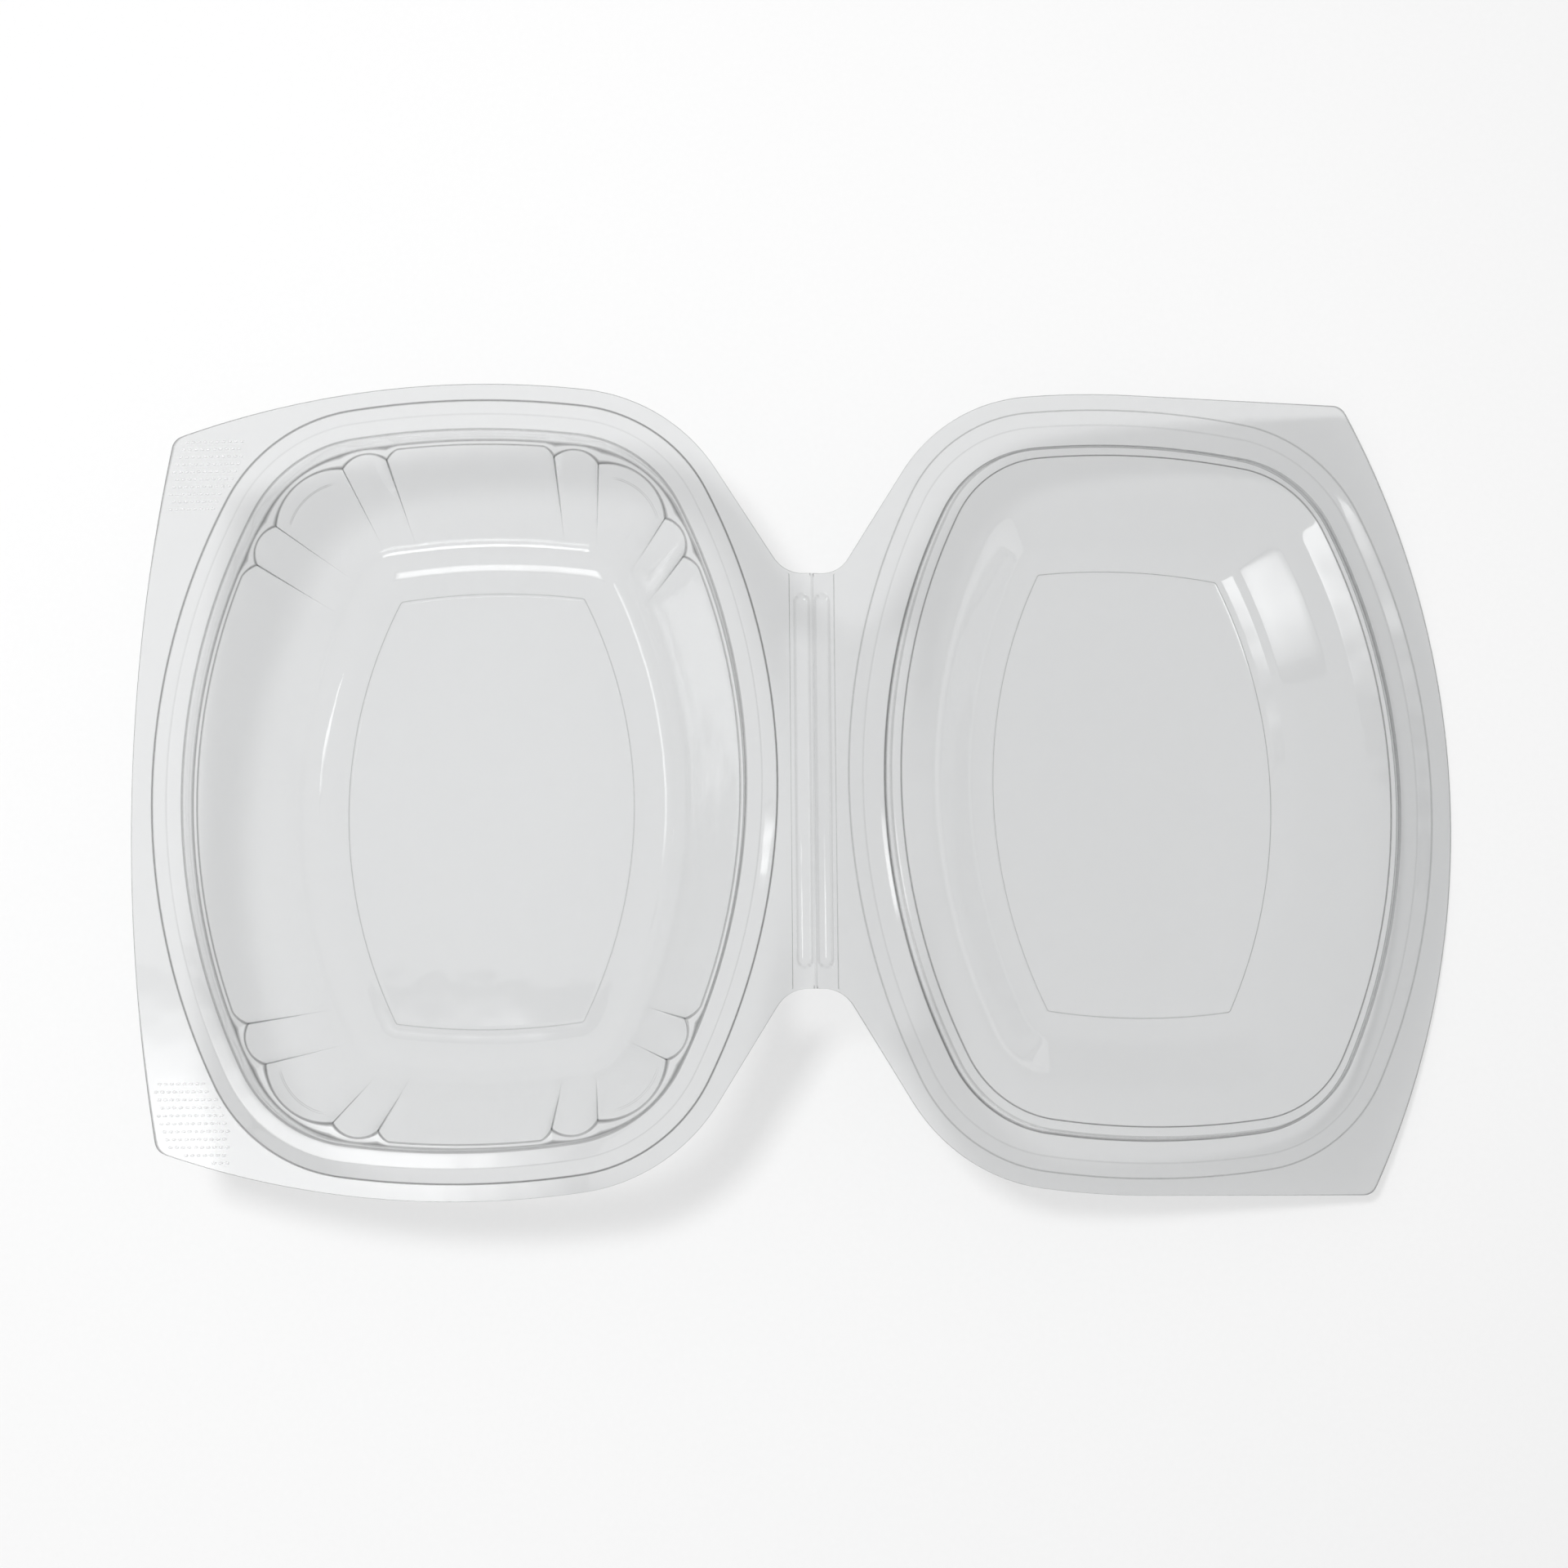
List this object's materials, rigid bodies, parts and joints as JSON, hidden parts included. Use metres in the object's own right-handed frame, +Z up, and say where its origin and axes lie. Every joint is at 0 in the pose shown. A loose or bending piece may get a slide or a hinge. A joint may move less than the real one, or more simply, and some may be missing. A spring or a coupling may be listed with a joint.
{
  "type": "clamshell pack",
  "caption": "Clear hinged plastic food pack, opened out: a deep tray with fluted corners and a shallow domed lid on a living hinge.",
  "frame": {"origin": "centre of the tray's floor, on the face it stands on", "axes": "+X from the tray across the hinge to the lid, +Y along the hinge, +Z up out of the tray"},
  "size_m": [0.3112, 0.1916, 0.0442],
  "materials": {
    "clear_sheet": "clear glossy vacuum-formed sheet"
  },
  "bodies": {
    "tray": {"tray": "clear_sheet"},
    "lid": {"lid": "clear_sheet"}
  },
  "joints": [
    {"name": "lid_hinge", "type": "hinge", "parent": "tray", "child": "lid", "pos_m": [0.0811, 0, 0.0437], "axis": [0, -1, 0], "range_deg": [0, 195.7]}
  ]
}
